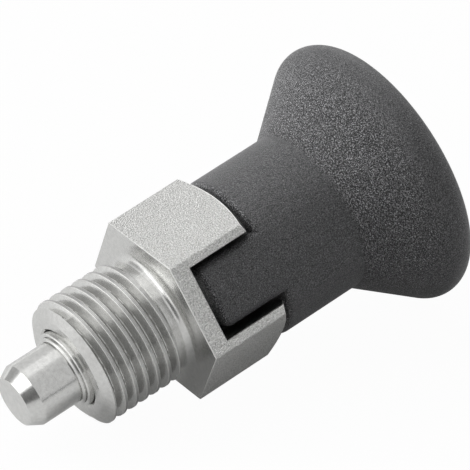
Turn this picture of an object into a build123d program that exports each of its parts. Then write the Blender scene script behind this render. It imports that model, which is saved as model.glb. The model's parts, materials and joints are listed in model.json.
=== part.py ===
from build123d import *

import os
from math import asin, atan2, cos, hypot, radians, sin, sqrt, tan

# Indexing plunger with an M10 x 1 sleeve, a sprung 5 mm locating pin and a mushroom grip.
#
# Sizes are millimetres. Places along the plunger's own axis are stations: station 0 is the seat
# face of the hexagon, negative stations run towards the nose and positive ones towards the grip.
# The plunger lies as it comes to rest on a table: on the seat edge of one hexagon flat and on the
# rim of the grip, nose down. The origin is the centre of the seat face, +X points from the nose
# to the grip in plan, and +Z is up.

# ---------------------------------------------------------------- sleeve
thread_diameter = 10.0
shank_length = 8.0
entry_flat_diameter = 8.16
entry_chamfer_angle = 30.0
undercut_diameter = 8.8
undercut_length = 1.72
undercut_fillet = 0.62
thread_runout_angle = 60.0
hex_across_flats = 13.0
hex_length = 7.2
hex_crown_diameter = 12.4
hex_crown_angle = 30.0
chamber_diameter = 6.25
mouth_chamfer = 0.15
rear_wall = 1.3
notch_width = 6.0
notch_floor_station = 1.45
notch_direction = 60.0
boss_diameter = 8.2

# ---------------------------------------------------------------- locating pin
nose_diameter = 5.0
nose_reach = 4.8
nose_chamfer_length = 1.0
nose_chamfer_depth = 0.55
root_ring_reach = 0.62
root_ring_diameter = 5.56
root_ring_chamfer = 0.12
collar_reach = 0.38
collar_chamfer = 0.08
collar_length = 3.8
stem_diameter = 3.5
stem_grip_depth = 10.0
stem_chamfer = 0.3

# ---------------------------------------------------------------- compression spring
wire_diameter = 0.5
spring_mean_diameter = 4.9
wound_turns = 7

# ---------------------------------------------------------------- mushroom grip
neck_diameter = 13.0
waist_station = 14.6
rim_diameter = 21.4
rim_round = 1.6
rim_station = 20.55
crown_station = 24.0
lug_width = 5.0
neck_edge_round = 0.35

# ---------------------------------------------------------------- clearances
collar_running_gap = 0.075
stem_running_gap = 0.05
stop_gap = 0.05
shoulder_gap = 0.3
lug_floor_gap = 0.62
lug_boss_gap = 0.2
spring_end_gap = 0.02
cutter_overrun = 1.0

# ---------------------------------------------------------------- worked out from the above
thread_radius = thread_diameter / 2
hex_apothem = hex_across_flats / 2
hex_corner_radius = hex_across_flats / sqrt(3)
crown_radius = hex_crown_diameter / 2
nose_radius = nose_diameter / 2
stem_radius = stem_diameter / 2
boss_radius = boss_diameter / 2
neck_radius = neck_diameter / 2

front_station = -shank_length
nose_tip_station = front_station - nose_reach
shoulder_station = hex_length + shoulder_gap
boss_end_station = shoulder_station - stop_gap
chamber_end_station = boss_end_station - rear_wall
stem_end_station = shoulder_station + stem_grip_depth

collar_radius = chamber_diameter / 2 - collar_running_gap
collar_back_station = front_station - collar_reach + collar_length
lug_tip_station = notch_floor_station + lug_floor_gap
lug_inner_radius = boss_radius + lug_boss_gap

# The lean of the axis: the table touches the seat edge of the lower flat, at hex_apothem under
# the origin, and the rim's round, whose centre is rim_centre_radius from the axis.
rim_centre_radius = rim_diameter / 2 - rim_round
rim_drop = rim_centre_radius - hex_apothem
rim_span = hypot(rim_station, rim_drop)
lean = atan2(rim_drop, rim_station) + asin(rim_round / rim_span)

axis_direction = Vector(cos(lean), 0, sin(lean))
radial_up = Vector(-sin(lean), 0, cos(lean))
plunger_axis = Axis((0, 0, 0), axis_direction)

# Turned profiles are drawn on this plane as (station, radius).
turning_plane = Plane(origin=(0, 0, 0), x_dir=axis_direction, z_dir=(0, -1, 0))


def section_plane(station):
    """The plane across the plunger at a station. Angles on it count from the upper flat."""
    return Plane(origin=axis_direction * station, x_dir=radial_up, z_dir=axis_direction)


# ---------------------------------------------------------------- sleeve
# One turned piece: chamfered thread cylinder, undercut behind it, hexagon with a turned crown,
# and two notches in opposite flats that leave a round boss for the spring chamber.
undercut_radius = undercut_diameter / 2
entry_radius = entry_flat_diameter / 2
entry_depth = (thread_radius - entry_radius) * tan(radians(entry_chamfer_angle))
runout_length = (thread_radius - undercut_radius) / tan(radians(thread_runout_angle))
crown_depth = (hex_corner_radius - crown_radius) * tan(radians(hex_crown_angle))
chamber_radius = chamber_diameter / 2
mouth_radius = chamber_radius + mouth_chamfer
stem_hole_radius = stem_radius + stem_running_gap

with BuildPart() as sleeve:
    with BuildSketch(section_plane(0)):
        RegularPolygon(radius=hex_apothem, side_count=6, major_radius=False, rotation=30)
    extrude(amount=hex_length)

    with BuildSketch(turning_plane):
        with BuildLine():
            Polyline(
                (0, 0),
                (0, hex_corner_radius),
                (hex_length - crown_depth, hex_corner_radius),
                (hex_length, crown_radius),
                (hex_length, 0),
                close=True,
            )
        make_face()
    revolve(axis=plunger_axis, mode=Mode.INTERSECT)

    # The notches, milled into the opposite flats down to the boss.
    with BuildSketch(section_plane(notch_floor_station)):
        Rectangle(2 * hex_across_flats, notch_width, rotation=notch_direction)
        Circle(boss_radius, mode=Mode.SUBTRACT)
    extrude(amount=hex_length, mode=Mode.SUBTRACT)

    # The boss stands a little proud of the hexagon and stops the grip.
    with BuildSketch(section_plane(notch_floor_station)):
        Circle(boss_radius)
    extrude(amount=boss_end_station - notch_floor_station)

    # The shank: entry chamfer, thread cylinder, undercut and its fillet into the seat face.
    with BuildSketch(turning_plane):
        with BuildLine():
            Polyline(
                (0, undercut_radius + undercut_fillet),
                (0, 0),
                (front_station, 0),
                (front_station, entry_radius),
                (front_station + entry_depth, thread_radius),
                (-undercut_length, thread_radius),
                (-undercut_length + runout_length, undercut_radius),
                (-undercut_fillet, undercut_radius),
            )
            RadiusArc(
                (-undercut_fillet, undercut_radius),
                (0, undercut_radius + undercut_fillet),
                undercut_fillet,
            )
        make_face()
    revolve(axis=plunger_axis)

    # The spring chamber with its mouth chamfer, and the stem hole through the rear wall.
    with BuildSketch(turning_plane):
        with BuildLine():
            Polyline(
                (front_station, 0),
                (front_station, mouth_radius),
                (front_station + mouth_chamfer, chamber_radius),
                (chamber_end_station, chamber_radius),
                (chamber_end_station, stem_hole_radius),
                (boss_end_station + cutter_overrun, stem_hole_radius),
                (boss_end_station + cutter_overrun, 0),
                close=True,
            )
        make_face()
    revolve(axis=plunger_axis, mode=Mode.SUBTRACT)

sleeve.part.label = "sleeve"

# ---------------------------------------------------------------- locating pin
# Turned in one piece: chamfered nose, root ring, collar that runs in the chamber and pushes
# against the spring, and the stem that carries the grip.
nose_root_station = front_station - root_ring_reach
root_ring_radius = root_ring_diameter / 2
collar_front_station = front_station - collar_reach

with BuildPart() as locating_pin:
    with BuildSketch(turning_plane):
        with BuildLine():
            Polyline(
                (nose_tip_station, 0),
                (nose_tip_station, nose_radius - nose_chamfer_depth),
                (nose_tip_station + nose_chamfer_length, nose_radius),
                (nose_root_station, nose_radius),
                (nose_root_station, root_ring_radius - root_ring_chamfer),
                (nose_root_station + root_ring_chamfer, root_ring_radius),
                (collar_front_station, root_ring_radius),
                (collar_front_station, collar_radius - collar_chamfer),
                (collar_front_station + collar_chamfer, collar_radius),
                (collar_back_station, collar_radius),
                (collar_back_station, stem_radius),
                (stem_end_station - stem_chamfer, stem_radius),
                (stem_end_station, stem_radius - stem_chamfer),
                (stem_end_station, 0),
                close=True,
            )
        make_face()
    revolve(axis=plunger_axis)

locating_pin.part.label = "locating_pin"

# ---------------------------------------------------------------- compression spring
# An open coil between the back of the collar and the rear wall. The wire is wound half its own
# width past both ends, then ground flat. Its section is drawn with eight sides.
spring_start_station = collar_back_station + spring_end_gap
spring_end_station = chamber_end_station - spring_end_gap
spring_length = spring_end_station - spring_start_station
coil_length = spring_length + wire_diameter
coil_radius = spring_mean_diameter / 2

with BuildPart() as compression_spring:
    with BuildLine():
        coil = Helix(
            pitch=coil_length / wound_turns,
            height=coil_length,
            radius=coil_radius,
            center=axis_direction * (spring_start_station - wire_diameter / 2),
            direction=axis_direction,
        )
    with BuildSketch(Plane(origin=coil @ 0, x_dir=radial_up, z_dir=coil % 0)):
        RegularPolygon(radius=wire_diameter / 2, side_count=8)
    sweep(path=coil, is_frenet=True)

    with BuildSketch(section_plane(spring_start_station)):
        Circle(coil_radius + wire_diameter)
    extrude(amount=spring_length, mode=Mode.INTERSECT)

compression_spring.part.label = "compression_spring"

# ---------------------------------------------------------------- mushroom grip
# Moulded in one piece: a neck with two lugs that drop into the sleeve's notches, a conical flare,
# a rounded rim and a shallow crown. The flare is tangent to the rim's round, and so is the crown.
flare_run = hypot(rim_station - waist_station, rim_centre_radius - neck_radius)
flare_angle = atan2(rim_centre_radius - neck_radius, rim_station - waist_station) + asin(
    rim_round / flare_run
)
flare_end = (
    rim_station - rim_round * sin(flare_angle),
    rim_centre_radius + rim_round * cos(flare_angle),
)

crown_rise = crown_station - rim_station
crown_sphere_radius = (crown_rise**2 + rim_centre_radius**2 - rim_round**2) / (
    2 * (crown_rise - rim_round)
)
crown_centre_station = crown_station - crown_sphere_radius
crown_angle = atan2(rim_centre_radius, rim_station - crown_centre_station)
crown_edge = (
    rim_station + rim_round * cos(crown_angle),
    rim_centre_radius + rim_round * sin(crown_angle),
)
rim_middle_angle = (crown_angle + flare_angle + radians(90)) / 2
rim_middle = (
    rim_station + rim_round * cos(rim_middle_angle),
    rim_centre_radius + rim_round * sin(rim_middle_angle),
)
crown_middle = (
    crown_centre_station + crown_sphere_radius * cos(crown_angle / 2),
    crown_sphere_radius * sin(crown_angle / 2),
)

with BuildPart() as mushroom_grip:
    with BuildSketch(turning_plane):
        with BuildLine():
            Polyline(
                (crown_station, 0),
                (lug_tip_station, 0),
                (lug_tip_station, neck_radius),
                (waist_station, neck_radius),
                flare_end,
            )
            ThreePointArc(flare_end, rim_middle, crown_edge)
            ThreePointArc(crown_edge, crown_middle, (crown_station, 0))
        make_face()
    revolve(axis=plunger_axis)

    # The neck is cut back to its shoulder, all but the two lugs that reach forward over the boss.
    with BuildSketch(section_plane(lug_tip_station)):
        Circle(neck_diameter)
        Rectangle(3 * neck_diameter, lug_width, rotation=notch_direction, mode=Mode.SUBTRACT)
        Circle(lug_inner_radius)
    extrude(amount=shoulder_station - lug_tip_station, mode=Mode.SUBTRACT)

    # The front outline of the neck's wall is rounded: the lugs' tips and sides, and the shoulder.
    neck_wall = faces().filter_by(GeomType.CYLINDER).sort_by(SortBy.AREA)[-1]
    tip_arcs, side_edges, shoulder_arcs = neck_wall.edges().group_by(plunger_axis)[:3]
    fillet(tip_arcs + side_edges + shoulder_arcs, radius=neck_edge_round)

    # The blind bore that the stem is pressed into.
    with BuildSketch(section_plane(shoulder_station)):
        Circle(stem_radius)
    extrude(amount=stem_grip_depth, mode=Mode.SUBTRACT)

mushroom_grip.part.label = "mushroom_grip"

# ---------------------------------------------------------------- files
os.makedirs("parts", exist_ok=True)
export_step(sleeve.part, "parts/sleeve.step")
export_step(locating_pin.part, "parts/locating_pin.step")
export_step(compression_spring.part, "parts/compression_spring.step")
export_step(mushroom_grip.part, "parts/mushroom_grip.step")
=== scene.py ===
"""Indexing plunger, dressed for the studio.

A threaded hexagon sleeve, a sprung locating pin and a moulded mushroom grip share one leaning
axis. Pieces are drawn in millimetres with that axis as local Z and the seat face of the hexagon
at zero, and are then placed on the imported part, which is in metres.
"""

import json
import logging
import math
from dataclasses import dataclass
from enum import Enum
from typing import Any, Callable, Iterable, Sequence

import bmesh
import bpy
from mathutils import Matrix, Vector


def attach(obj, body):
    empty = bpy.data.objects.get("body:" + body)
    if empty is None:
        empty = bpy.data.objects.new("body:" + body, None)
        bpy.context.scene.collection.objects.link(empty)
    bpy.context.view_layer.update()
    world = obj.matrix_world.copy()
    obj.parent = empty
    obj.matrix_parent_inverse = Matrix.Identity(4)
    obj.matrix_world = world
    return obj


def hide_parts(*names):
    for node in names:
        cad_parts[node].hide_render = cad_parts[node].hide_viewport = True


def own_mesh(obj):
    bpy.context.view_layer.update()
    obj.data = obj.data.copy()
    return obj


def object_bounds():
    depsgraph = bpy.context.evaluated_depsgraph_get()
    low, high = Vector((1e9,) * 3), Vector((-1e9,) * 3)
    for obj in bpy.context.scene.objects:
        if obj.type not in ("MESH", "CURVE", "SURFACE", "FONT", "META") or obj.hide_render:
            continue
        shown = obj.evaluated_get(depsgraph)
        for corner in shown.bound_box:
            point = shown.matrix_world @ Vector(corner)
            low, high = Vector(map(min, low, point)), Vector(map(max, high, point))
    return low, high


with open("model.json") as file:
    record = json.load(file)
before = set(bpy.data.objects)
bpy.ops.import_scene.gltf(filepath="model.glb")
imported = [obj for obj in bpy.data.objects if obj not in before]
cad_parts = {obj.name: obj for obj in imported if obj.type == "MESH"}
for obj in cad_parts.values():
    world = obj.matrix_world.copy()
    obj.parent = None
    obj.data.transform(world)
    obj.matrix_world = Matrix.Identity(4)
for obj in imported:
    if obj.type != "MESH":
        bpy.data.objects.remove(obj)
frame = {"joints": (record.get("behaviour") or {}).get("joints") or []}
cad_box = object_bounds()

log = logging.getLogger("indexing_plunger")

Point = tuple[float, float]
Profile = list[Point]
Direction = tuple[float, float, float]

METRES_PER_MM = 0.001
WHITE = (1.0, 1.0, 1.0, 1.0)

# A cut leaves splinters of edge along an outline, which would spoil its rounding, so those under
# this length, in millimetres, are welded.
SHORTEST_EDGE = 0.03
# A vertex or a face's centre that is meant to lie on a surface is this near to it, in millimetres,
# or within a hair of it where other edges run close by.
TOUCH = 0.01
HAIR = 0.001

# Two faces that turn by less are one flat face, in radians.
FLAT_ANGLE = math.radians(0.05)
# The bevel's own number for a round section.
ROUND_SECTION = 0.5
# The facets of a round that is hidden inside the part.
HIDDEN_FACETS = 96


# ------------------------------------------------------------------ placing
def joint_named(name: str) -> dict[str, Any]:
    """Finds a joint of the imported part.

    Args:
        name: The joint's name.

    Returns:
        The joint's entry in the record.
    """
    return next(joint for joint in frame["joints"] if joint["name"] == name)


@dataclass(frozen=True)
class PlungerAxis:
    """The line that every turned piece shares, from the nose towards the grip."""

    direction: Vector

    @property
    def radial_up(self) -> Vector:
        """The direction across the axis that points most nearly up."""
        return Vector((-self.direction.z, 0.0, self.direction.x))

    @property
    def side(self) -> Vector:
        """The direction across the axis that is level, on the wrench side."""
        return self.direction.cross(self.radial_up)

    @property
    def turn(self) -> Matrix:
        """Turns local X, Y and Z to radial up, side and the axis."""
        return Matrix((self.radial_up, self.side, self.direction)).transposed()

    @property
    def placement(self) -> Matrix:
        """Takes a mesh drawn in millimetres to its place in metres."""
        return self.turn.to_4x4() @ Matrix.Scale(METRES_PER_MM, 4)

    def vector(self, shares: Direction) -> Vector:
        """Gives a world direction.

        Args:
            shares: Shares along the axis towards the grip, along world Y, and along radial up.

        Returns:
            The unit vector.
        """
        along, level, up = shares
        level_axis = Vector((0.0, 1.0, 0.0))
        return (self.direction * along + level_axis * level + self.radial_up * up).normalized()


AXIS = PlungerAxis(Vector(joint_named("pull")["axis"]).normalized())


def new_object(name: str, data: bpy.types.ID) -> bpy.types.Object:
    """Makes an object and links it to the scene.

    Args:
        name: Its name.
        data: What it holds, such as a mesh or a lamp.

    Returns:
        The object.
    """
    made = bpy.data.objects.new(name, data)
    bpy.context.scene.collection.objects.link(made)
    return made


# ------------------------------------------------------------------ outlines
def arc(centre: Point, radius: float, first: float, last: float, steps: int) -> Profile:
    """Draws an arc as chords.

    Args:
        centre: Its centre.
        radius: Its radius.
        first: Angle of its first point, in radians.
        last: Angle of its last point.
        steps: How many chords it has.

    Returns:
        Its points, with both ends.
    """
    angles = (first + (last - first) * step / steps for step in range(steps + 1))
    return [(centre[0] + radius * math.cos(a), centre[1] + radius * math.sin(a)) for a in angles]


def regular(radius: float, sides: int, first: float = 0.0) -> Profile:
    """Draws a regular polygon round the axis.

    Args:
        radius: How far its corners are from the axis.
        sides: How many sides it has.
        first: Angle of its first corner, in radians from radial up.

    Returns:
        Its corners.
    """
    angles = (first + math.tau * step / sides for step in range(sides))
    return [(radius * math.cos(a), radius * math.sin(a)) for a in angles]


def rectangle(length: float, width: float, angle: float = 0.0) -> Profile:
    """Draws a centred rectangle.

    Args:
        length: Its first side.
        width: Its second side.
        angle: Direction of the first side, in radians.

    Returns:
        Its four corners.
    """
    turn = Matrix.Rotation(angle, 2)
    corners = [(-1, -1), (1, -1), (1, 1), (-1, 1)]
    return [tuple(turn @ Vector((x * length / 2, y * width / 2))) for x, y in corners]


def rounded(profile: Profile, radii: dict[int, float], steps: int = 4) -> Profile:
    """Rounds chosen corners of a turned profile.

    Args:
        profile: Stations and radii, in order.
        radii: The radius for each corner that is rounded, by its place in the profile.
        steps: How many chords make up one rounding.

    Returns:
        The profile with arcs at those corners.
    """
    result: Profile = []
    for place, corner in enumerate(profile):
        if place not in radii:
            result.append(corner)
            continue
        here = Vector(corner)
        back = (Vector(profile[place - 1]) - here).normalized()
        ahead = (Vector(profile[place + 1]) - here).normalized()
        half = back.angle(ahead) / 2
        radius = radii[place]
        centre = here + (back + ahead).normalized() * radius / math.sin(half)
        first = (here + back * radius / math.tan(half) - centre).normalized()
        last = (here + ahead * radius / math.tan(half) - centre).normalized()
        for step in range(steps + 1):
            result.append(tuple(centre + first.slerp(last, step / steps) * radius))
    return result


# ------------------------------------------------------------------ solids
class Join(Enum):
    """How one solid is joined to another."""

    UNION = "UNION"
    DIFFERENCE = "DIFFERENCE"
    INTERSECT = "INTERSECT"


def mesh_from(bm: bmesh.types.BMesh, name: str) -> bpy.types.Mesh:
    """Writes a working mesh out, with its faces turned outwards.

    Args:
        bm: The working mesh, which is freed.
        name: The new mesh's name.

    Returns:
        The finished mesh.
    """
    bmesh.ops.recalc_face_normals(bm, faces=bm.faces)
    mesh = bpy.data.meshes.new(name)
    bm.to_mesh(mesh)
    bm.free()
    return mesh


def turned(name: str, profile: Profile, facets: int) -> bpy.types.Mesh:
    """Spins a profile round local Z into a closed solid.

    Args:
        name: The mesh's name.
        profile: Stations and radii, in order. Its ends lie on the axis.
        facets: How many flats make up the round.

    Returns:
        The solid.
    """
    bm = bmesh.new()
    rings = []
    for station, radius in profile:
        if radius == 0.0:
            rings.append([bm.verts.new((0.0, 0.0, station))] * facets)
        else:
            rings.append([bm.verts.new((x, y, station)) for x, y in regular(radius, facets)])
    for lower, upper in zip(rings, rings[1:]):
        for step in range(facets):
            after = (step + 1) % facets
            corners = [lower[step], lower[after], upper[after], upper[step]]
            face = list(dict.fromkeys(corners))
            if len(face) > 2:
                bm.faces.new(face)
    return mesh_from(bm, name)


def plug(name: str, radius: float, start: float, end: float, facets: int) -> bpy.types.Mesh:
    """Turns a plain cylinder.

    Args:
        name: The mesh's name.
        radius: Its radius.
        start: Station of its first face.
        end: Station of its last face.
        facets: How many flats make up the round.

    Returns:
        The solid.
    """
    return turned(name, [(start, 0.0), (start, radius), (end, radius), (end, 0.0)], facets)


def prism(name: str, outline: Sequence[Point], start: float, end: float) -> bpy.types.Mesh:
    """Raises an outline along local Z.

    Args:
        name: The mesh's name.
        outline: Points across the axis, in order.
        start: Station of the first face.
        end: Station of the last face.

    Returns:
        The solid.
    """
    bm = bmesh.new()
    base = [bm.verts.new((x, y, start)) for x, y in outline]
    top = [bm.verts.new((x, y, end)) for x, y in outline]
    bm.faces.new(base)
    bm.faces.new(top)
    for step in range(len(outline)):
        after = (step + 1) % len(outline)
        bm.faces.new([base[step], base[after], top[after], top[step]])
    return mesh_from(bm, name)


def evaluated(
    mesh: bpy.types.Mesh, fit: Callable[[bpy.types.Object], None]
) -> bpy.types.Mesh:
    """Runs modifiers over a mesh and keeps the plain result.

    Args:
        mesh: The mesh that they change.
        fit: Adds the modifiers to an object that holds the mesh.

    Returns:
        The changed mesh, with no modifiers.
    """
    holder = new_object(mesh.name, mesh)
    fit(holder)
    depsgraph = bpy.context.evaluated_depsgraph_get()
    result = bpy.data.meshes.new_from_object(holder.evaluated_get(depsgraph))
    result.name = mesh.name
    bpy.data.objects.remove(holder)
    return result


def joined(target: bpy.types.Mesh, tool: bpy.types.Mesh, how: Join) -> bpy.types.Mesh:
    """Joins two solids exactly.

    Args:
        target: The solid that is kept.
        tool: The solid that is added, taken away or kept in common.
        how: Which of these it is.

    Returns:
        The new solid.
    """
    cutter = new_object(tool.name, tool)

    def fit(holder: bpy.types.Object) -> None:
        """Adds the exact Boolean.

        Args:
            holder: The object that holds the kept solid.
        """
        boolean = holder.modifiers.new("join", "BOOLEAN")
        boolean.operation = how.value
        boolean.solver = "EXACT"
        boolean.object = cutter

    result = evaluated(target, fit)
    bpy.data.objects.remove(cutter)
    return result


def is_convex_corner(edge: bmesh.types.BMEdge, least_turn: float) -> bool:
    """Says whether an edge is an outer corner.

    Args:
        edge: The edge.
        least_turn: The least angle, in degrees, by which its faces turn at a corner.

    Returns:
        Whether it is one.
    """
    turn = math.radians(least_turn)
    return edge.is_manifold and edge.is_convex and edge.calc_face_angle() > turn


def distance_from_axis(vertex: bmesh.types.BMVert) -> float:
    """Gives a vertex's radius."""
    return math.hypot(vertex.co.x, vertex.co.y)


def edges_broken(
    mesh: bpy.types.Mesh,
    chosen: Callable[[bmesh.types.BMEdge], bool],
    width: float,
    segments: int,
) -> bpy.types.Mesh:
    """Rounds the sharp edges of a solid that a test picks.

    Args:
        mesh: The solid, in millimetres.
        chosen: Says whether an edge is rounded.
        width: How far the rounding reaches from the edge.
        segments: How many flats make up the rounding.

    Returns:
        The same mesh.
    """
    bm = bmesh.new()
    bm.from_mesh(mesh)
    bmesh.ops.dissolve_limit(bm, angle_limit=FLAT_ANGLE, verts=bm.verts, edges=bm.edges)
    outline = {vertex for edge in bm.edges if chosen(edge) for vertex in edge.verts}
    bmesh.ops.remove_doubles(bm, verts=list(outline), dist=SHORTEST_EDGE)
    bmesh.ops.bevel(
        bm,
        geom=[edge for edge in bm.edges if chosen(edge)],
        offset=width,
        offset_type="OFFSET",
        segments=segments,
        profile=ROUND_SECTION,
        affect="EDGES",
        clamp_overlap=False,
    )
    bm.to_mesh(mesh)
    bm.free()
    return mesh


def dress(mesh: bpy.types.Mesh, materials: Iterable[bpy.types.Material]) -> None:
    """Gives a mesh its materials, in place of what it has.

    Args:
        mesh: The mesh.
        materials: One material for each slot, in order.
    """
    mesh.materials.clear()
    for material in materials:
        mesh.materials.append(material)


def finished_piece(
    mesh: bpy.types.Mesh,
    name: str,
    body: str,
    node: str,
    smooth_below: float,
) -> bpy.types.Object:
    """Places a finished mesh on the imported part.

    Args:
        mesh: The mesh, in millimetres along local Z.
        name: The piece's name.
        body: The body that it rides on.
        node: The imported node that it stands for.
        smooth_below: Edges that turn by less, in degrees, are shaded smooth.

    Returns:
        The piece.
    """
    mesh.shade_smooth()
    mesh.set_sharp_from_angle(angle=math.radians(smooth_below))

    def fit(holder: bpy.types.Object) -> None:
        """Lets the broad faces lead the shading of the narrow ones beside them."""
        weighted = holder.modifiers.new("shading", "WEIGHTED_NORMAL")
        weighted.keep_sharp = True

    mesh = evaluated(mesh, fit)
    mesh.transform(AXIS.placement)
    mesh.name = name
    piece = new_object(name, mesh)
    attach(piece, body)
    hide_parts(node)
    return piece


# ------------------------------------------------------------------ node trees
def add_node(
    tree: bpy.types.NodeTree, kind: str, inputs: dict[Any, Any], **settings: Any
) -> bpy.types.Node:
    """Adds one node to a tree.

    Args:
        tree: The tree.
        kind: The node's type.
        inputs: For each input, by name or number, its value or the socket that feeds it.
        **settings: The node's own properties.

    Returns:
        The node.
    """
    node = tree.nodes.new(kind)
    for name, value in settings.items():
        setattr(node, name, value)
    for key, value in inputs.items():
        if isinstance(value, bpy.types.NodeSocket):
            tree.links.new(value, node.inputs[key])
        else:
            node.inputs[key].default_value = value
    return node


def bare_tree(owner: bpy.types.Material | bpy.types.World) -> bpy.types.NodeTree:
    """Gives a material or a world its own node tree, with nothing in it yet.

    Args:
        owner: The material or the world.

    Returns:
        Its tree.
    """
    owner.use_nodes = True
    owner.node_tree.nodes.clear()
    return owner.node_tree


@dataclass(frozen=True)
class Helix:
    """A section carried round the axis on a right-hand helix, made by Geometry Nodes."""

    start: float
    height: float
    turns: float
    radius: float
    steps_per_turn: int

    def tree(self) -> bpy.types.NodeTree:
        """Builds the node tree, with the helix's sizes as its inputs.

        Returns:
            The tree.
        """
        tree = bpy.data.node_groups.new("helix", "GeometryNodeTree")
        sockets = {
            "Section": "NodeSocketObject",
            "Start": "NodeSocketFloat",
            "Height": "NodeSocketFloat",
            "Turns": "NodeSocketFloat",
            "Radius": "NodeSocketFloat",
            "Steps per turn": "NodeSocketInt",
            "Material": "NodeSocketMaterial",
        }
        for name, kind in sockets.items():
            tree.interface.new_socket(name, in_out="INPUT", socket_type=kind)
        tree.interface.new_socket("Geometry", in_out="OUTPUT", socket_type="NodeSocketGeometry")
        given = add_node(tree, "NodeGroupInput", {}).outputs
        line = add_node(
            tree,
            "GeometryNodeCurveSpiral",
            {
                "Resolution": given["Steps per turn"],
                "Rotations": given["Turns"],
                "Start Radius": given["Radius"],
                "End Radius": given["Radius"],
                "Height": given["Height"],
                "Reverse": True,
            },
        )
        offset = add_node(tree, "ShaderNodeCombineXYZ", {"Z": given["Start"]})
        placed = add_node(
            tree,
            "GeometryNodeTransform",
            {"Geometry": line.outputs[0], "Translation": offset.outputs[0]},
        )
        level = add_node(
            tree, "GeometryNodeSetCurveNormal", {"Curve": placed.outputs[0]}, mode="Z_UP"
        )
        section = add_node(tree, "GeometryNodeObjectInfo", {"Object": given["Section"]})
        swept = add_node(
            tree,
            "GeometryNodeCurveToMesh",
            {
                "Curve": level.outputs[0],
                "Profile Curve": section.outputs["Geometry"],
                "Fill Caps": True,
            },
        )
        real = add_node(tree, "GeometryNodeRealizeInstances", {"Geometry": swept.outputs[0]})
        finish = add_node(
            tree,
            "GeometryNodeSetMaterial",
            {"Geometry": real.outputs[0], "Material": given["Material"]},
        )
        add_node(tree, "NodeGroupOutput", {"Geometry": finish.outputs[0]})
        return tree

    @staticmethod
    def section(name: str, outline: Sequence[Point]) -> bpy.types.Object:
        """Makes the curve that is swept.

        Args:
            name: The curve's name.
            outline: Its points, outwards and along the axis.

        Returns:
            An object that holds the curve.
        """
        curve = bpy.data.curves.new(name, "CURVE")
        curve.dimensions = "2D"
        spline = curve.splines.new("POLY")
        spline.points.add(len(outline) - 1)
        for point, (outwards, along) in zip(spline.points, outline):
            point.co = (outwards, along, 0.0, 1.0)
        spline.use_cyclic_u = True
        return new_object(name, curve)

    def mesh(
        self, name: str, outline: Sequence[Point], material: bpy.types.Material
    ) -> bpy.types.Mesh:
        """Sweeps a section along the helix.

        Args:
            name: The mesh's name.
            outline: The section's points, outwards and along the axis.
            material: The material it gets.

        Returns:
            A closed mesh.
        """
        section = self.section(name + "_section", outline)
        tree = self.tree()
        values = {
            "Section": section,
            "Start": self.start,
            "Height": self.height,
            "Turns": self.turns,
            "Radius": self.radius,
            "Steps per turn": self.steps_per_turn,
            "Material": material,
        }

        def fit(holder: bpy.types.Object) -> None:
            """Adds the tree, with its inputs set by their identifiers.

            Args:
                holder: The object that the helix is made on.
            """
            modifier = holder.modifiers.new("helix", "NODES")
            modifier.node_group = tree
            for item in tree.interface.items_tree:
                if item.in_out == "INPUT":
                    modifier[item.identifier] = values[item.name]

        result = evaluated(bpy.data.meshes.new(name), fit)
        bpy.data.objects.remove(section)
        bm = bmesh.new()
        bm.from_mesh(result)
        bmesh.ops.recalc_face_normals(bm, faces=bm.faces)
        bm.to_mesh(result)
        bm.free()
        return result


# ------------------------------------------------------------------ finishes
def srgb_hex(code: str) -> tuple[float, float, float, float]:
    """Turns an sRGB hex colour to linear.

    Args:
        code: Six hex digits.

    Returns:
        Red, green, blue and an alpha of one.
    """
    channels = [int(code[place : place + 2], 16) / 255 for place in (0, 2, 4)]
    red, green, blue = (
        c / 12.92 if c <= 0.04045 else ((c + 0.055) / 1.055) ** 2.4 for c in channels
    )
    return red, green, blue, 1.0


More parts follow.
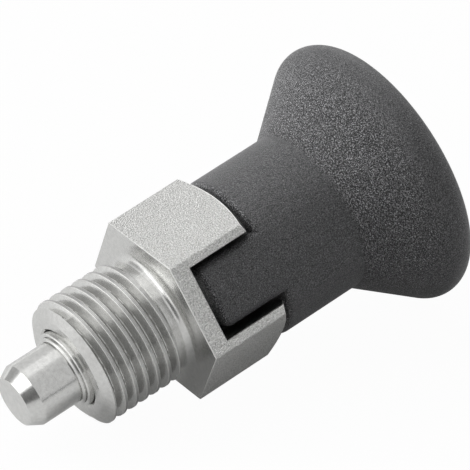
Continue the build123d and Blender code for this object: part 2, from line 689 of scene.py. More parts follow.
@dataclass(frozen=True)
class Finish:
    """What every finish shares: two colours spread over a pattern, and a pattern felt as bump.

    The colour range gives the pattern's values where the low and the high colour are. A metal
    keeps the shader's own IOR. Sizes are in millimetres.
    """

    name: str
    low_colour: str
    high_colour: str
    roughness: float
    colour_range: Point

    def material(self) -> bpy.types.Material:
        """Builds the material.

        Returns:
            The material, with one surface shader.
        """
        material = bpy.data.materials.new(self.name)
        tree = bare_tree(material)
        shader = self.surface(tree)
        add_node(tree, "ShaderNodeOutputMaterial", {"Surface": shader.outputs["BSDF"]})
        return material

    def surface(self, tree: bpy.types.NodeTree) -> bpy.types.Node:
        """Builds the surface shader, in each finish's own way."""
        raise NotImplementedError

    @staticmethod
    def along_axis(tree: bpy.types.NodeTree) -> bpy.types.NodeSocket:
        """Gives object coordinates in millimetres, turned so that Z runs along the plunger.

        Args:
            tree: The material's tree.

        Returns:
            The coordinates.
        """
        place = add_node(tree, "ShaderNodeTexCoord", {})
        mapping = add_node(
            tree,
            "ShaderNodeMapping",
            {
                "Vector": place.outputs["Object"],
                "Rotation": AXIS.turn.inverted().to_euler(),
                "Scale": (1 / METRES_PER_MM,) * 3,
            },
        )
        return mapping.outputs["Vector"]

    @staticmethod
    def station_and_radius(
        tree: bpy.types.NodeTree, place: bpy.types.NodeSocket
    ) -> tuple[bpy.types.NodeSocket, bpy.types.NodeSocket]:
        """Splits a place into how far it is along the plunger and how far from its axis.

        Args:
            tree: The material's tree.
            place: Coordinates in millimetres with Z along the plunger.

        Returns:
            The station and the radius.
        """
        station = add_node(tree, "ShaderNodeSeparateXYZ", {"Vector": place})
        across = add_node(
            tree, "ShaderNodeVectorMath", {0: place, 1: (1.0, 1.0, 0.0)}, operation="MULTIPLY"
        )
        radius = add_node(
            tree, "ShaderNodeVectorMath", {0: across.outputs[0]}, operation="LENGTH"
        )
        return station.outputs["Z"], radius.outputs["Value"]

    def coloured(
        self, tree: bpy.types.NodeTree, pattern: bpy.types.NodeSocket, power: float = 1.0
    ) -> bpy.types.NodeSocket:
        """Spreads the finish's two colours over a pattern.

        Args:
            tree: The material's tree.
            pattern: The pattern.
            power: Over one, it leaves the high colour to the pattern's peaks.

        Returns:
            The colour.
        """
        lowest, highest = self.colour_range
        level = add_node(
            tree, "ShaderNodeMapRange", {"Value": pattern, "From Min": lowest, "From Max": highest}
        )
        if power != 1.0:
            level = add_node(
                tree, "ShaderNodeMath", {0: level.outputs[0], 1: power}, operation="POWER"
            )
        colour = add_node(
            tree,
            "ShaderNodeMix",
            {0: level.outputs[0], 6: srgb_hex(self.low_colour), 7: srgb_hex(self.high_colour)},
            data_type="RGBA",
        )
        return colour.outputs[2]

    def shaded(
        self,
        tree: bpy.types.NodeTree,
        colour: bpy.types.NodeSocket,
        relief: bpy.types.NodeSocket,
        depth: float,
        gloss: dict[str, float],
    ) -> bpy.types.Node:
        """Builds the surface shader from a colour and a relief.

        Args:
            tree: The material's tree.
            colour: The base colour.
            relief: The height that is felt as bump.
            depth: How deep a height of one is.
            gloss: The shader's inputs that set metal apart from plastic.

        Returns:
            The shader.
        """
        bump = add_node(
            tree,
            "ShaderNodeBump",
            {"Height": relief, "Distance": depth * METRES_PER_MM, "Strength": 1.0},
        )
        return add_node(
            tree,
            "ShaderNodeBsdfPrincipled",
            {
                "Base Color": colour,
                "Roughness": self.roughness,
                "Normal": bump.outputs["Normal"],
                **gloss,
            },
        )


BARE_METAL = {"Metallic": 1.0}


@dataclass(frozen=True)
class BlastedSteel(Finish):
    """Free-cutting steel, fine blasted: a soft, broad sheen with a sparkling grain.

    The grit leaves dents about 0.05 mm across and a few micrometres deep. That is too fine to
    show, so they are drawn at twice that size, and deep enough for each to catch the light.
    """

    low_colour: str = "A8A8A6"
    high_colour: str = "ECECEA"
    roughness: float = 0.38
    colour_range: Point = (0.25, 0.75)
    grit: float = 0.11
    dent_depth: float = 0.12

    def surface(self, tree: bpy.types.NodeTree) -> bpy.types.Node:
        """Builds the shader: the grit's dents as bump, with painted shade in their bottoms and
        painted light on their rims.

        Args:
            tree: The material's tree.

        Returns:
            The shader.
        """
        dents = add_node(
            tree,
            "ShaderNodeTexNoise",
            {
                "Vector": self.along_axis(tree),
                "Scale": 1 / self.grit,
                "Detail": 1.0,
                "Roughness": 0.5,
            },
        ).outputs[0]
        # Painted shade and highlight: the colour follows the dents' depth, darker at their bottoms
        # and lighter on their rims.
        colour = self.coloured(tree, dents)
        return self.shaded(tree, colour, dents, self.dent_depth, BARE_METAL)


@dataclass(frozen=True)
class TurnedSteel(Finish):
    """Steel straight from the lathe: fine rings that draw each reflection out across them.

    The rings are as far apart as the tool's feed, and about half a micrometre deep. The steel's
    stains are about a third of a millimetre across.
    """

    low_colour: str = "D4D4D2"
    high_colour: str = "E8E8E6"
    roughness: float = 0.25
    colour_range: Point = (0.3, 0.7)
    feed: float = 0.06
    ring_depth: float = 0.0005
    stain: float = 0.35

    def surface(self, tree: bpy.types.NodeTree) -> bpy.types.Node:
        """Builds the shader: feed marks as bump in rings round the axis, and uneven colour.

        Args:
            tree: The material's tree.

        Returns:
            The shader.
        """
        place = self.along_axis(tree)
        station, radius = self.station_and_radius(tree, place)
        section = add_node(tree, "ShaderNodeCombineXYZ", {"X": radius, "Y": station})
        rings = add_node(
            tree,
            "ShaderNodeTexNoise",
            {
                "Vector": section.outputs[0],
                "Scale": 1 / self.feed,
                "Detail": 3.0,
                "Roughness": 0.6,
            },
        )
        stains = add_node(
            tree,
            "ShaderNodeTexNoise",
            {"Vector": place, "Scale": 1 / self.stain, "Detail": 4.0, "Roughness": 0.7},
        )
        colour = self.coloured(tree, stains.outputs[0])
        return self.shaded(tree, colour, rings.outputs[0], self.ring_depth, BARE_METAL)


@dataclass(frozen=True)
class SparkErodedPlastic(Finish):
    """Black reinforced nylon from a spark-eroded mould: a matt grain with painted glints, bright
    points of colour on its peaks.

    The grain's strength sets both its bump and its painted glints. It is greatest on the flare and
    on the neck's rounded edges, where the light catches, and fades towards the rim. The sparks
    leave pits about 0.05 mm across and some ten micrometres deep. That is too fine to show, so
    they are drawn larger and deeper.
    """

    low_colour: str = "252526"
    # The high colour is a painted glint, near white on the grain's peaks.
    high_colour: str = "D6D6D8"
    roughness: float = 0.35
    colour_range: Point = (-0.14, 0.5)
    ior: float = 1.5
    specular_level: float = 0.25
    grain: float = 0.085
    grain_depth: float = 0.1
    glint_power: float = 1.7
    neck_strength: float = 0.48
    flare_strength: float = 1.35
    edge_strength: float = 1.5
    rim_share: float = 0.35
    flare_stations: Point = (14.5, 14.9)
    rim_stations: Point = (18.0, 20.0)
    edge_radii: Point = (6.38, 6.48)

    def grain_and_glint_strength(
        self, tree: bpy.types.NodeTree, place: bpy.types.NodeSocket
    ) -> bpy.types.NodeSocket:
        """Says how strong the grain and its painted glints are on the grip.

        Args:
            tree: The material's tree.
            place: Coordinates in millimetres with Z along the plunger.

        Returns:
            A factor for the grain's contrast.
        """
        station, radius = self.station_and_radius(tree, place)
        changes = (
            (station, self.flare_stations, (self.neck_strength, self.flare_strength)),
            (radius, self.edge_radii, (self.edge_strength, 0.0)),
            (station, self.rim_stations, (1.0, self.rim_share)),
        )
        flare, edge, fall = (
            add_node(
                tree,
                "ShaderNodeMapRange",
                {
                    "Value": measure,
                    "From Min": first,
                    "From Max": last,
                    "To Min": before,
                    "To Max": after,
                },
            ).outputs[0]
            for measure, (first, last), (before, after) in changes
        )
        deepest = add_node(tree, "ShaderNodeMath", {0: flare, 1: edge}, operation="MAXIMUM")
        return add_node(
            tree, "ShaderNodeMath", {0: deepest.outputs[0], 1: fall}, operation="MULTIPLY"
        ).outputs[0]

    def surface(self, tree: bpy.types.NodeTree) -> bpy.types.Node:
        """Builds the shader: the mould's grain as bump, with only its peaks painted bright as
        glints.

        Args:
            tree: The material's tree.

        Returns:
            The shader.
        """
        place = self.along_axis(tree)
        grains = add_node(
            tree,
            "ShaderNodeTexNoise",
            {"Vector": place, "Scale": 1 / self.grain, "Detail": 1.0, "Roughness": 0.5},
        )
        centred = add_node(
            tree, "ShaderNodeMath", {0: grains.outputs[0], 1: 0.5}, operation="SUBTRACT"
        )
        height = add_node(
            tree,
            "ShaderNodeMath",
            {0: centred.outputs[0], 1: self.grain_and_glint_strength(tree, place)},
            operation="MULTIPLY",
        ).outputs[0]
        # Painted highlight: only the grain's peaks reach the near-white glint colour.
        colour = self.coloured(tree, height, self.glint_power)
        gloss = {"IOR": self.ior, "Specular IOR Level": self.specular_level}
        return self.shaded(tree, colour, height, self.grain_depth, gloss)


# ------------------------------------------------------------------ pieces
class SleeveFinish(Enum):
    """The kinds of face on the sleeve, numbered by material slot."""

    TURNED = 0
    BLASTED = 1
    MILLED = 2
    NEAR_FLANK = 3
    FAR_FLANK = 4
    CREST = 5
    BROKEN_EDGE = 6


@dataclass(frozen=True)
class ThreadedSleeve:
    """The screw-in sleeve: hexagon with two notches, undercut and fine thread, in millimetres.

    Tools cut past the solid by the overrun. The last three fields tell the finished faces apart:
    a face's slope is the share of its normal along the axis, and the broken edges of a crest have
    their centres less than a share of the break below it.
    """

    thread_radius: float = 5.0
    shank_length: float = 8.0
    entry_radius: float = 4.08
    entry_angle: float = 30.0
    undercut_radius: float = 4.4
    undercut_length: float = 1.5
    undercut_fillet: float = 0.62
    fillet_steps: int = 10
    runout_angle: float = 60.0
    hex_across_flats: float = 13.0
    hex_length: float = 7.2
    crown_radius: float = 6.2
    crown_angle: float = 30.0
    chamber_radius: float = 3.125
    chamber_end: float = 6.15
    mouth_chamfer: float = 0.15
    stem_hole_radius: float = 1.8
    notch_width: float = 6.0
    notch_floor: float = 1.45
    notch_angle: float = 60.0
    boss_radius: float = 4.1
    boss_end: float = 7.45
    thread_pitch: float = 1.0
    thread_root_radius: float = 4.4
    flank_angle: float = 30.0
    root_corner: float = 0.05
    root_flat_share: float = 0.55
    crest_flat: float = 0.2
    crest_break: float = 0.05
    last_crest: float = -1.63
    crest_angle: float = 45.0
    groove_turns: int = 7
    groove_overcut: float = 0.06
    steps_per_turn: int = 96
    edge_break: float = 0.055
    least_broken_turn: float = 20.0
    facets: int = 192
    overrun: float = 1.0
    side_slope: float = 0.1
    end_slope: float = 0.8
    break_share: float = 0.8

    @property
    def thread_start(self) -> float:
        """The station where the entry chamfer reaches the full thread."""
        depth = self.thread_radius - self.entry_radius
        return depth * math.tan(math.radians(self.entry_angle)) - self.shank_length

    def turned_core(self) -> bpy.types.Mesh:
        """Turns the shank with its entry chamfer, undercut and fillet, and the boss.

        Returns:
            The solid.
        """
        depth = self.thread_radius - self.undercut_radius
        runout = depth / math.tan(math.radians(self.runout_angle))
        fillet_radius = self.undercut_radius + self.undercut_fillet
        fillet = arc(
            (-self.undercut_fillet, fillet_radius),
            self.undercut_fillet,
            -math.pi / 2,
            0.0,
            self.fillet_steps,
        )
        profile = [
            (-self.shank_length, 0.0),
            (-self.shank_length, self.entry_radius),
            (self.thread_start, self.thread_radius),
            (-self.undercut_length, self.thread_radius),
            (-self.undercut_length + runout, self.undercut_radius),
            *fillet,
            (self.overrun, fillet_radius),
            (self.overrun, self.boss_radius),
            (self.boss_end, self.boss_radius),
            (self.boss_end, 0.0),
        ]
        return turned("turned_core", profile, self.facets)

    def hexagon(self) -> bpy.types.Mesh:
        """Cuts the hexagon: its turned crown, and the slot that leaves a notch in two flats.

        Returns:
            The solid.
        """
        corner = self.hex_across_flats / math.sqrt(3)
        # Its first corner is half a side round, so that one flat faces radial up.
        bar = prism("hexagon", regular(corner, 6, math.radians(30)), 0.0, self.hex_length)
        blank_radius = corner + self.overrun
        crown_fall = (blank_radius - self.crown_radius) * math.tan(math.radians(self.crown_angle))
        crown_blank = turned(
            "crown_blank",
            [
                (-self.overrun, 0.0),
                (-self.overrun, blank_radius),
                (self.hex_length - crown_fall, blank_radius),
                (self.hex_length, self.crown_radius),
                (self.hex_length, 0.0),
            ],
            self.facets,
        )
        slot = prism(
            "slot",
            rectangle(2 * self.hex_across_flats, self.notch_width, math.radians(self.notch_angle)),
            self.notch_floor,
            self.hex_length + self.overrun,
        )
        return joined(joined(bar, crown_blank, Join.INTERSECT), slot, Join.DIFFERENCE)

    def bore(self) -> bpy.types.Mesh:
        """Turns the tool that leaves the spring chamber and the stem hole.

        Returns:
            The solid that is taken away.
        """
        mouth = self.chamber_radius + self.mouth_chamfer
        return turned(
            "bore",
            [
                (-self.shank_length - self.overrun, 0.0),
                (-self.shank_length - self.overrun, mouth),
                (-self.shank_length, mouth),
                (-self.shank_length + self.mouth_chamfer, self.chamber_radius),
                (self.chamber_end, self.chamber_radius),
                (self.chamber_end, self.stem_hole_radius),
                (self.boss_end + self.overrun, self.stem_hole_radius),
                (self.boss_end + self.overrun, 0.0),
            ],
            HIDDEN_FACETS,
        )

    def thread_groove(self, material: bpy.types.Material) -> bpy.types.Mesh:
        """Sweeps the groove between the crests of the 60 degree thread.

        Args:
            material: What the cut faces are made of.

        Returns:
            The groove as a closed solid.
        """
        half_pitch = self.thread_pitch / 2
        flank_run = math.tan(math.radians(self.flank_angle))
        mouth = half_pitch - self.crest_flat / 2 - self.crest_break
        depth = self.thread_radius - self.crest_break - self.thread_root_radius
        root = mouth - depth * flank_run
        overcut = self.groove_overcut
        half_outline = [
            (self.thread_root_radius, root * self.root_flat_share),
            (self.thread_root_radius + self.root_corner, root + self.root_corner * flank_run),
            (self.thread_radius - self.crest_break, mouth),
            (self.thread_radius, mouth + self.crest_break),
            (self.thread_radius + overcut, mouth + self.crest_break + overcut),
        ]
        outline = half_outline + [(radius, -along) for radius, along in reversed(half_outline)]
        last_groove = self.last_crest + half_pitch - self.thread_pitch * self.crest_angle / 360
        length = self.groove_turns * self.thread_pitch
        helix = Helix(
            start=last_groove - length,
            height=length,
            turns=self.groove_turns,
            radius=self.thread_radius,
            steps_per_turn=self.steps_per_turn,
        )
        section = [(radius - self.thread_radius, along) for radius, along in outline]
        return helix.mesh("thread_groove", section, material)

    def breaks(self, edge: bmesh.types.BMEdge) -> bool:
        """Says whether an edge of the hexagon or boss is one that the deburring breaks.

        Args:
            edge: The edge.

        Returns:
            Whether it is.
        """
        return is_convex_corner(edge, self.least_broken_turn) and all(
            vertex.co.z > -HAIR and distance_from_axis(vertex) > self.boss_radius - HAIR
            for vertex in edge.verts
        )

    def thread_finish(self, face: bpy.types.MeshPolygon, radius: float) -> SleeveFinish:
        """Says which finish a face of the thread has.

        Args:
            face: The face.
            radius: How far its centre is from the axis.

        Returns:
            Its finish.
        """
        if radius > self.thread_radius - TOUCH and abs(face.normal.z) < self.side_slope:
            return SleeveFinish.CREST
        if radius > self.thread_radius - self.break_share * self.crest_break:
            return SleeveFinish.BROKEN_EDGE
        # Flanks that face the grip take the steel painted darker as shade; those that face the
        # nose take the steel painted lighter as lit.
        return SleeveFinish.FAR_FLANK if face.normal.z > 0 else SleeveFinish.NEAR_FLANK

    def finish_of(self, face: bpy.types.MeshPolygon) -> SleeveFinish:
        """Says which finish a face of the sleeve has.

        Args:
            face: The face.

        Returns:
            Its finish.
        """
        radius = math.hypot(face.center.x, face.center.y)
        if self.thread_start < face.center.z < -self.undercut_length:
            return self.thread_finish(face, radius)
        if face.center.z < 0 or radius < self.boss_radius:
            return SleeveFinish.TURNED
        from_axis = face.center.x * face.normal.x + face.center.y * face.normal.y
        slope = abs(face.normal.z)
        if slope < self.side_slope and from_axis > self.hex_across_flats / 2 - self.edge_break:
            return SleeveFinish.BLASTED
        # The notch's walls and floor take the milled steel, painted dark as shade in the slot.
        if slope < self.side_slope or abs(face.center.z - self.notch_floor) < TOUCH:
            return SleeveFinish.MILLED
        return SleeveFinish.BROKEN_EDGE if slope < self.end_slope else SleeveFinish.TURNED

    def build(self, finishes: dict[SleeveFinish, bpy.types.Material]) -> bpy.types.Object:
        """Builds the sleeve.

        Args:
            finishes: The material for each kind of face.

        Returns:
            The finished piece.
        """
        groove = self.thread_groove(finishes[SleeveFinish.NEAR_FLANK])
        body = joined(self.hexagon(), self.turned_core(), Join.UNION)
        body = joined(body, self.bore(), Join.DIFFERENCE)
        body = edges_broken(body, self.breaks, self.edge_break, 1)
        body = joined(body, groove, Join.DIFFERENCE)
        dress(body, (finishes[kind] for kind in SleeveFinish))
        for face in body.polygons:
            face.material_index = self.finish_of(face).value
        return finished_piece(
            body, "threaded_sleeve", "sleeve_body", "sleeve", smooth_below=28
        )


@dataclass(frozen=True)
class SprungPin:
    """The locating pin: chamfered nose, root ring, collar and stem, in millimetres."""

    nose_radius: float = 2.5
    nose_tip: float = -12.8
    chamfer_length: float = 1.0
    chamfer_depth: float = 0.55
    root: float = -8.62
    root_groove: float = 0.07
    ring_radius: float = 2.78
    ring_chamfer: float = 0.12
    collar_front: float = -8.38
    collar_radius: float = 3.05
    collar_chamfer: float = 0.08
    collar_back: float = -4.58
    stem_radius: float = 1.75
    stem_end: float = 17.5
    stem_chamfer: float = 0.3
    edge_break: float = 0.05
    chamfer_break: float = 0.06
    fine_break: float = 0.03
    facets: int = 160

    def profile(self) -> Profile:
        """Draws the pin from its nose to the end of its stem, with its edges lightly broken.

        Returns:
            Stations and radii, in order.
        """
        groove = self.root_groove
        nose = [
            (self.nose_tip, 0.0),
            (self.nose_tip, self.nose_radius - self.chamfer_depth),
            (self.nose_tip + self.chamfer_length, self.nose_radius),
            (self.root - groove, self.nose_radius),
            (self.root - groove, self.nose_radius - groove),
            (self.root, self.nose_radius - groove),
        ]
        ring = [
            (self.root, self.ring_radius - self.ring_chamfer),
            (self.root + self.ring_chamfer, self.ring_radius),
            (self.collar_front - groove, self.ring_radius),
            (self.collar_front - groove, self.ring_radius - groove),
            (self.collar_front, self.ring_radius - groove),
        ]
        collar = [
            (self.collar_front, self.collar_radius - self.collar_chamfer),
            (self.collar_front + self.collar_chamfer, self.collar_radius),
            (self.collar_back, self.collar_radius),
        ]
        stem = [
            (self.collar_back, self.stem_radius),
            (self.stem_end - self.stem_chamfer, self.stem_radius),
            (self.stem_end, self.stem_radius - self.stem_chamfer),
            (self.stem_end, 0.0),
        ]
        first_of_ring = len(nose)
        first_of_collar = first_of_ring + len(ring)
        broken = {
            1: self.edge_break,
            2: self.chamfer_break,
            first_of_ring: self.fine_break,
            first_of_ring + 1: self.edge_break,
            first_of_collar: self.fine_break,
            first_of_collar + 1: self.edge_break,
            first_of_collar + 2: self.edge_break,
        }
        return rounded([*nose, *ring, *collar, *stem], broken)

    def build(self, finish: bpy.types.Material) -> bpy.types.Object:
        """Turns the pin.

        Args:
            finish: The pin's material.

        Returns:
            The finished piece.
        """
        mesh = turned("locating_pin", self.profile(), self.facets)
        dress(mesh, [finish])
        return finished_piece(
            mesh,
            "locating_pin_turned",
            "plunger_body",
            "locating_pin",
            smooth_below=25,
        )


@dataclass(frozen=True)
class OpenCoilSpring:
    """The compression spring: round wire with ground ends, in millimetres."""

    wire_diameter: float = 0.5
    wire_facets: int = 16
    mean_radius: float = 2.45
    start: float = -4.56
    end: float = 6.13
    turns: int = 7
    steps_per_turn: int = 48

    def build(self, finish: bpy.types.Material) -> bpy.types.Object:
        """Winds the spring, grinds its ends, and places it on the spring's body.

        Args:
            finish: The wire's material.

        Returns:
            The finished piece.
        """
        wire_radius = self.wire_diameter / 2
        length = self.end - self.start
        helix = Helix(
            start=self.start - wire_radius,
            height=length + self.wire_diameter,
            turns=self.turns,
            radius=self.mean_radius,
            steps_per_turn=self.steps_per_turn,
        )
        wire = helix.mesh("spring_wire", regular(wire_radius, self.wire_facets), finish)
        reach = self.mean_radius + self.wire_diameter
        between_wheels = plug("between_wheels", reach, self.start, self.end, HIDDEN_FACETS)
        mesh = joined(wire, between_wheels, Join.INTERSECT)
        dress(mesh, [finish])
        piece = finished_piece(
            mesh,
            "spring_wire_coil",
            "spring_body",
            "compression_spring",
            smooth_below=40,
        )
        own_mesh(piece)
        return piece


@dataclass(frozen=True)
class MushroomGrip:
    """The moulded grip: neck with two lugs, conical flare, rounded rim and crown.

    Sizes are in millimetres, and tools cut past the solid by the overrun.
    """

    neck_radius: float = 6.5
    waist: float = 14.6
    rim_radius: float = 10.7
    rim_round: float = 1.6
    rim_station: float = 20.55
    rim_steps: int = 20
    crown_station: float = 24.0
    crown_steps: int = 20
    lug_tip: float = 2.07
    lug_width: float = 5.0
    lug_angle: float = 60.0
    lug_inner_radius: float = 4.3
    lug_corner_round: float = 0.65
    lug_corner_steps: int = 8
    shoulder: float = 7.5
    neck_edge_round: float = 0.45
    neck_edge_steps: int = 5
    least_rounded_turn: float = 40.0
    bore_radius: float = 1.75
    bore_end: float = 17.5
    facets: int = 256
    overrun: float = 1.0

    def profile(self) -> Profile:
        """Draws the outside, with the flare and the crown tangent to the rim's round.

        Returns:
            Stations and radii, in order.
        """
        rim_centre = self.rim_radius - self.rim_round
        rise = rim_centre - self.neck_radius
        run = self.rim_station - self.waist
        flare = math.atan2(rise, run) + math.asin(self.rim_round / math.hypot(run, rise))
        crown_rise = self.crown_station - self.rim_station
        crown_sphere = (crown_rise**2 + rim_centre**2 - self.rim_round**2) / (
            2 * (crown_rise - self.rim_round)
        )
        crown_centre = self.crown_station - crown_sphere
        crown_angle = math.atan2(rim_centre, self.rim_station - crown_centre)
        rim = arc(
            (self.rim_station, rim_centre),
            self.rim_round,
            flare + math.pi / 2,
            crown_angle,
            self.rim_steps,
        )
        crown = arc((crown_centre, 0.0), crown_sphere, crown_angle, 0.0, self.crown_steps)
        return [
            (self.lug_tip, 0.0),
            (self.lug_tip, self.neck_radius),
            (self.waist, self.neck_radius),
            *rim,
            *crown[1:-1],
            (self.crown_station, 0.0),
        ]

    def lug_bar(self) -> bpy.types.Mesh:
        """Shapes the bar that both lugs are cut from, with its corners at the tip rounded.

        Returns:
            The solid, laid across the axis.
        """
        half_width = self.lug_width / 2
        reach = 3 * self.neck_radius
        corner = arc(
            (half_width - self.lug_corner_round, self.lug_tip + self.lug_corner_round),
            self.lug_corner_round,
            0.0,
            -math.pi / 2,
            self.lug_corner_steps,
        )
        side = [(half_width, self.shoulder + self.overrun), *corner]
        outline = [(-across, along) for across, along in side] + side[::-1]
        bar = prism("lug_bar", outline, -reach, reach)
        angle = math.radians(self.lug_angle)
        across = Vector((-math.sin(angle), math.cos(angle), 0.0))
        outward = Vector((math.cos(angle), math.sin(angle), 0.0))
        bar.transform(Matrix((across, Vector((0.0, 0.0, 1.0)), outward)).transposed().to_4x4())
        return bar

    def front_outline(self, edge: bmesh.types.BMEdge) -> bool:
        """Says whether an edge belongs to the front outline of the neck: lugs and shoulder.

        Args:
            edge: The edge.

        Returns:
            Whether it does.
        """
        return is_convex_corner(edge, self.least_rounded_turn) and all(
            abs(distance_from_axis(vertex) - self.neck_radius) < TOUCH
            and vertex.co.z < self.shoulder + TOUCH
            for vertex in edge.verts
        )

    def build(self, finish: bpy.types.Material) -> bpy.types.Object:
        """Moulds the grip, cut back to its shoulder all but for the lugs.

        Args:
            finish: The grip's material.

        Returns:
            The finished piece.
        """
        front = self.lug_tip - self.overrun
        clear_radius = 2 * self.neck_radius
        clearing = joined(
            plug("clearing", clear_radius, front, self.shoulder, self.facets),
            self.lug_bar(),
            Join.DIFFERENCE,
        )
        around_boss = plug(
            "around_boss", self.lug_inner_radius, front, self.shoulder, HIDDEN_FACETS
        )
        bore = plug(
            "stem_bore",
            self.bore_radius,
            self.shoulder - self.overrun,
            self.bore_end,
            HIDDEN_FACETS,
        )
        mesh = turned("grip_blank", self.profile(), self.facets)
        mesh = joined(mesh, clearing, Join.DIFFERENCE)
        mesh = joined(mesh, around_boss, Join.DIFFERENCE)
        mesh = edges_broken(
            mesh, self.front_outline, self.neck_edge_round, self.neck_edge_steps
        )
        mesh = joined(mesh, bore, Join.DIFFERENCE)
        dress(mesh, [finish])
        return finished_piece(
            mesh,
            "mushroom_grip_moulding",
            "plunger_body",
            "mushroom_grip",
            smooth_below=30,
        )


# ------------------------------------------------------------------ studio
@dataclass(frozen=True)
class Camera:
    """The camera, which looks along the part from the nose side and above.

    Angles are in degrees, the lens and the sensor in millimetres of the camera, the distance in
    metres, and the shift of its aim in millimetres of the part.
    """

    azimuth: float = -37.247
    elevation: float = 34.123
    distance: float = 0.300
    roll: float = -0.118
    lens: float = 314.43
    sensor: float = 36.0
    look_right: float = 5.9022
    look_up: float = 5.6016
    nearest: float = 0.01

    def build(self) -> bpy.types.Object:
        """Places the camera and makes it the scene's own.

        Returns:
            The camera.
        """
        azimuth = math.radians(self.azimuth)
        elevation = math.radians(self.elevation)
        back = Vector(
            (
                math.sin(azimuth) * math.cos(elevation),
                -math.cos(azimuth) * math.cos(elevation),
                math.sin(elevation),
            )
        )
        right = Vector((math.cos(azimuth), math.sin(azimuth), 0.0))
        up = back.cross(right)
        target = (right * self.look_right + up * self.look_up) * METRES_PER_MM
        data = bpy.data.cameras.new("studio_camera")
        data.lens = self.lens
        data.sensor_width = self.sensor
        data.clip_start = self.nearest
        camera = new_object("studio_camera", data)
        turn = Matrix((right, up, back)).transposed().to_4x4()
        roll = Matrix.Rotation(math.radians(self.roll), 4, "Z")
        camera.matrix_world = Matrix.Translation(target + back * self.distance) @ turn @ roll
        bpy.context.scene.camera = camera
        return camera


def flat_sheet(
    name: str, outline: Sequence[Point], height: float, material: bpy.types.Material
) -> bpy.types.Object:
    """Makes one flat face of the studio, which isn't part of the object.

    Args:
        name: The object's name.
        outline: Its corners, in metres.
        height: Their height.
        material: Its material.

    Returns:
        The face as an object of its own.
    """
    bm = bmesh.new()
    bm.faces.new([bm.verts.new((x, y, height)) for x, y in outline])
    mesh = bpy.data.meshes.new(name)
    bm.to_mesh(mesh)
    bm.free()
    mesh.materials.append(material)
    sheet = new_object(name, mesh)
    return sheet


@dataclass(frozen=True)
class ReflectedCard:
    """A grey card of the studio, seen only in reflections.

    It faces the part from a direction, given as shares along the axis, along world Y and along
    radial up. Its spread is in degrees, round the axis and along it, and it fades out over the
    feathered share of it. Its distance is in metres.
    """

    name: str
    towards: Direction
    spread: Point
    grey: float
    feather: float = 0.05
    distance: float = 0.4

    def paint(self, half_width: float, half_height: float) -> bpy.types.Material:
        """Makes the card's glow, which fades towards its borders.

        Args:
            half_width: Half the card's width.
            half_height: Half its height.

        Returns:
            The card's material.
        """
        material = bpy.data.materials.new(self.name)
        tree = bare_tree(material)
        place = add_node(tree, "ShaderNodeTexCoord", {})
        shares = add_node(
            tree,
            "ShaderNodeVectorMath",
            {0: place.outputs["Object"], 1: (1 / half_width, 1 / half_height, 1.0)},
            operation="MULTIPLY",
        )
        sized = add_node(
            tree, "ShaderNodeVectorMath", {0: shares.outputs[0]}, operation="ABSOLUTE"
        )
        split = add_node(tree, "ShaderNodeSeparateXYZ", {"Vector": sized.outputs[0]})
        border = add_node(
            tree,
            "ShaderNodeMath",
            {0: split.outputs["X"], 1: split.outputs["Y"]},
            operation="MAXIMUM",
        )
        fade = add_node(
            tree,
            "ShaderNodeMapRange",
            {"Value": border.outputs[0], "From Min": 1 - self.feather, "From Max": 1.0},
            interpolation_type="SMOOTHSTEP",
        )
        glow = add_node(tree, "ShaderNodeEmission", {"Color": WHITE, "Strength": self.grey})
        clear = add_node(tree, "ShaderNodeBsdfTransparent", {})
        mixed = add_node(
            tree,
            "ShaderNodeMixShader",
            {0: fade.outputs[0], 1: glow.outputs[0], 2: clear.outputs[0]},
        )
        add_node(tree, "ShaderNodeOutputMaterial", {"Surface": mixed.outputs[0]})
        return material

    def build(self) -> bpy.types.Object:
        """Hangs the card at its distance from the part, where only gloss sees it.

        Returns:
            The card.
        """
        towards = AXIS.vector(self.towards)
        lengthways = (AXIS.direction - towards * AXIS.direction.dot(towards)).normalized()
        turn = Matrix((lengthways.cross(towards), lengthways, towards)).transposed().to_4x4()
        half_width, half_height = (
            self.distance * math.tan(math.radians(degrees / 2)) for degrees in self.spread
        )
        outline = rectangle(2 * half_width, 2 * half_height)
        card = flat_sheet(self.name, outline, 0.0, self.paint(half_width, half_height))
        card.matrix_world = Matrix.Translation(towards * self.distance) @ turn
        card.visible_camera = False
        card.visible_diffuse = False
        card.visible_shadow = False
        card.visible_transmission = False
        return card


@dataclass(frozen=True)
class Lamp:
    """A soft square lamp that faces the part, and that no reflection shows.

    Its direction is given as a card's is. Its size and its distance are in metres.
    """

    name: str
    towards: Direction
    size: float
    watts: float
    distance: float = 0.35

    def build(self) -> bpy.types.Object:
        """Hangs the lamp at its distance from the part.

        Returns:
            The lamp.
        """
        towards = AXIS.vector(self.towards)
        data = bpy.data.lights.new(self.name, "AREA")
        data.shape = "SQUARE"
        data.size = self.size
        data.energy = self.watts
        lamp = new_object(self.name, data)
        turn = towards.to_track_quat("Z", "Y").to_matrix().to_4x4()
        lamp.matrix_world = Matrix.Translation(towards * self.distance) @ turn
        lamp.visible_glossy = False
        return lamp


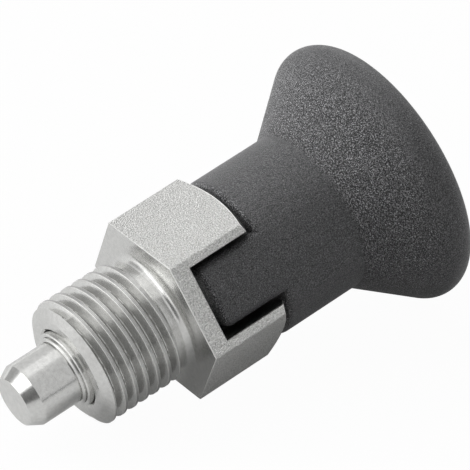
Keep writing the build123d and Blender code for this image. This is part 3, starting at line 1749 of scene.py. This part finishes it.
@dataclass(frozen=True)
class Studio:
    """A white table in a white room, with soft lamps and grey cards.

    The ambient light, the table's glow to the camera and the share of it that gloss and glass
    see are shares of white. The table's side is in metres.
    """

    ambient: float = 0.4
    table_size: float = 3.0
    table_colour: str = "BEBEBE"
    table_glow: float = 0.97
    table_reflected: float = 0.08
    lamps: tuple[Lamp, ...] = (
        Lamp("key_lamp", (-0.48, 0.66, 0.58), size=0.22, watts=1.25),
        Lamp("top_lamp", (0.12, 0.37, 0.92), size=0.3, watts=0.7),
        Lamp("front_lamp", (-0.80, 0.40, 0.45), size=0.3, watts=0.25),
        Lamp("side_lamp", (0.64, -0.74, -0.2), size=0.3, watts=0.5),
    )
    cards: tuple[ReflectedCard, ...] = (
        ReflectedCard(
            "soft_box", (-0.62, 0.07, 0.78), (60, 22), grey=2.6, feather=0.5, distance=0.38
        ),
        ReflectedCard("front_panel", (-0.80, 0.55, 0.25), (48, 36), grey=1.35, feather=0.2),
        ReflectedCard("far_front", (-0.28, 0.81, 0.51), (44, 26), grey=0.42, distance=0.37),
        ReflectedCard("camera_side", (-0.54, -0.67, 0.48), (50, 44), grey=0.14),
        ReflectedCard("wrench_side", (0.3755, -0.689, 0.62), (95, 50), grey=0.63, feather=0.15),
        ReflectedCard(
            "nose_light", (-0.85, -0.16, 0.50), (54, 24), grey=1.2, feather=0.6, distance=0.37
        ),
        ReflectedCard(
            "over_hexagon", (0.60, 0.12, 0.79), (44, 24), grey=2.5, feather=0.4, distance=0.38
        ),
        ReflectedCard(
            "behind_grip", (0.62, -0.67, 0.40), (106, 34), grey=0.36, feather=0.45, distance=0.36
        ),
        ReflectedCard("table_edge", (0.3755, -0.922, -0.085), (7, 60), grey=0.0, distance=0.35),
        ReflectedCard("far_side", (0.3755, 0.81, 0.45), (50, 50), grey=0.72, feather=0.2),
        ReflectedCard(
            "back_light", (0.70, 0.66, 0.26), (24, 20), grey=3.0, feather=0.3, distance=0.38
        ),
    )

    @staticmethod
    def looked_at(tree: bpy.types.NodeTree, reflected: float) -> bpy.types.NodeSocket:
        """Says how far a ray is one that looks: from the camera, off a gloss or through glass.

        Args:
            tree: The tree.
            reflected: The share for a ray that comes off a gloss or through glass.

        Returns:
            One for a camera ray, the share for such a ray, and zero for the others.
        """
        rays = add_node(tree, "ShaderNodeLightPath", {})
        indirect = add_node(
            tree,
            "ShaderNodeMath",
            {0: rays.outputs["Is Glossy Ray"], 1: rays.outputs["Is Transmission Ray"]},
            operation="MAXIMUM",
        )
        return add_node(
            tree,
            "ShaderNodeMath",
            {0: indirect.outputs[0], 1: reflected, 2: rays.outputs["Is Camera Ray"]},
            operation="MULTIPLY_ADD",
        ).outputs[0]

    def room(self) -> None:
        """Makes the room white to look at and soft as a source of light."""
        world = bpy.data.worlds.new("white_room")
        tree = bare_tree(world)
        strength = add_node(
            tree,
            "ShaderNodeMapRange",
            {"Value": self.looked_at(tree, 1.0), "To Min": self.ambient, "To Max": 1.0},
        )
        white = add_node(
            tree, "ShaderNodeBackground", {"Color": WHITE, "Strength": strength.outputs[0]}
        )
        add_node(tree, "ShaderNodeOutputWorld", {"Surface": white.outputs[0]})
        bpy.context.scene.world = world

    def laminate(self) -> bpy.types.Material:
        """Makes the table's laminate: matt and pale, and white to look at.

        Returns:
            The material.
        """
        material = bpy.data.materials.new("white_laminate")
        tree = bare_tree(material)
        matt = add_node(tree, "ShaderNodeBsdfDiffuse", {"Color": srgb_hex(self.table_colour)})
        white = add_node(tree, "ShaderNodeEmission", {"Color": WHITE, "Strength": 1.0})
        share = add_node(
            tree,
            "ShaderNodeMath",
            {0: self.looked_at(tree, self.table_reflected), 1: self.table_glow},
            operation="MULTIPLY",
        )
        mixed = add_node(
            tree,
            "ShaderNodeMixShader",
            {0: share.outputs[0], 1: matt.outputs[0], 2: white.outputs[0]},
        )
        add_node(tree, "ShaderNodeOutputMaterial", {"Surface": mixed.outputs[0]})
        return material

    def build(self) -> None:
        """Sets the studio up, with the table at the part's lowest point."""
        bpy.context.scene.view_settings.view_transform = "Standard"
        self.room()
        outline = rectangle(self.table_size, self.table_size)
        flat_sheet("white_table", outline, cad_box[0].z, self.laminate())
        for fitting in (*self.lamps, *self.cards):
            fitting.build()


# ------------------------------------------------------------------ the whole part
def sleeve_finishes() -> dict[SleeveFinish, bpy.types.Material]:
    """Gives the material for each kind of face on the sleeve.

    Returns:
        The materials.
    """
    finishes = {
        # As the lathe left it: bright, with each reflection drawn out across the feed marks.
        SleeveFinish.TURNED: TurnedSteel("turned_steel"),
        # The hexagon's flats, blasted before the notches were milled: pale, soft and sparkling.
        SleeveFinish.BLASTED: BlastedSteel("blasted_steel"),
        # The notches, milled: a dark grey, painted shade for the slot's shadow, with a closer
        # sheen.
        SleeveFinish.MILLED: BlastedSteel(
            "oiled_milled_steel", "585857", "787876", roughness=0.3
        ),
        # The flanks that face the nose, cut by a coarser feed: the brightest steel, painted
        # lighter as lit, beside the far flanks' painted shade.
        SleeveFinish.NEAR_FLANK: TurnedSteel(
            "cut_thread_steel", "DCDCDA", "ECECEA", roughness=0.26, feed=0.12, ring_depth=0.001
        ),
        # The flanks that face the grip: a duller grey, painted shade for the light that falls
        # short of them.
        SleeveFinish.FAR_FLANK: TurnedSteel("oiled_thread_steel", "A4A4A2", "B2B2B0"),
        # The thread's crests: a grey between the two flanks' colours.
        SleeveFinish.CREST: TurnedSteel("dull_crest_steel", "B4B4B2", "C4C4C2"),
        # Edges freshly broken by the deburring: thin lines that catch light from all round.
        SleeveFinish.BROKEN_EDGE: TurnedSteel(
            "bright_edge_steel", "DCDCDA", "EAEAE8", roughness=0.4
        ),
    }
    return {kind: finish.material() for kind, finish in finishes.items()}


def main() -> None:
    """Builds the pieces in order, then the studio and the camera."""
    logging.basicConfig(level=logging.INFO, format="%(name)s: %(message)s")
    # Ground after turning: finer marks, so its reflections are sharper.
    ground = TurnedSteel("ground_steel", roughness=0.2, feed=0.03, ring_depth=0.0004)
    # Drawn and heat-treated wire: a dark, even grey.
    wire = TurnedSteel("spring_steel_wire", "808080", "989896", roughness=0.35)
    # Near black and matt, with painted glints: bright points of colour on the grain's peaks.
    plastic = SparkErodedPlastic("spark_eroded_plastic")
    pieces = (
        ThreadedSleeve().build(sleeve_finishes()),
        SprungPin().build(ground.material()),
        OpenCoilSpring().build(wire.material()),
        MushroomGrip().build(plastic.material()),
    )
    for piece in pieces:
        log.info("%s: %d faces", piece.name, len(piece.data.polygons))
    Studio().build()
    Camera().build()


if __name__ == "__main__":
    main()
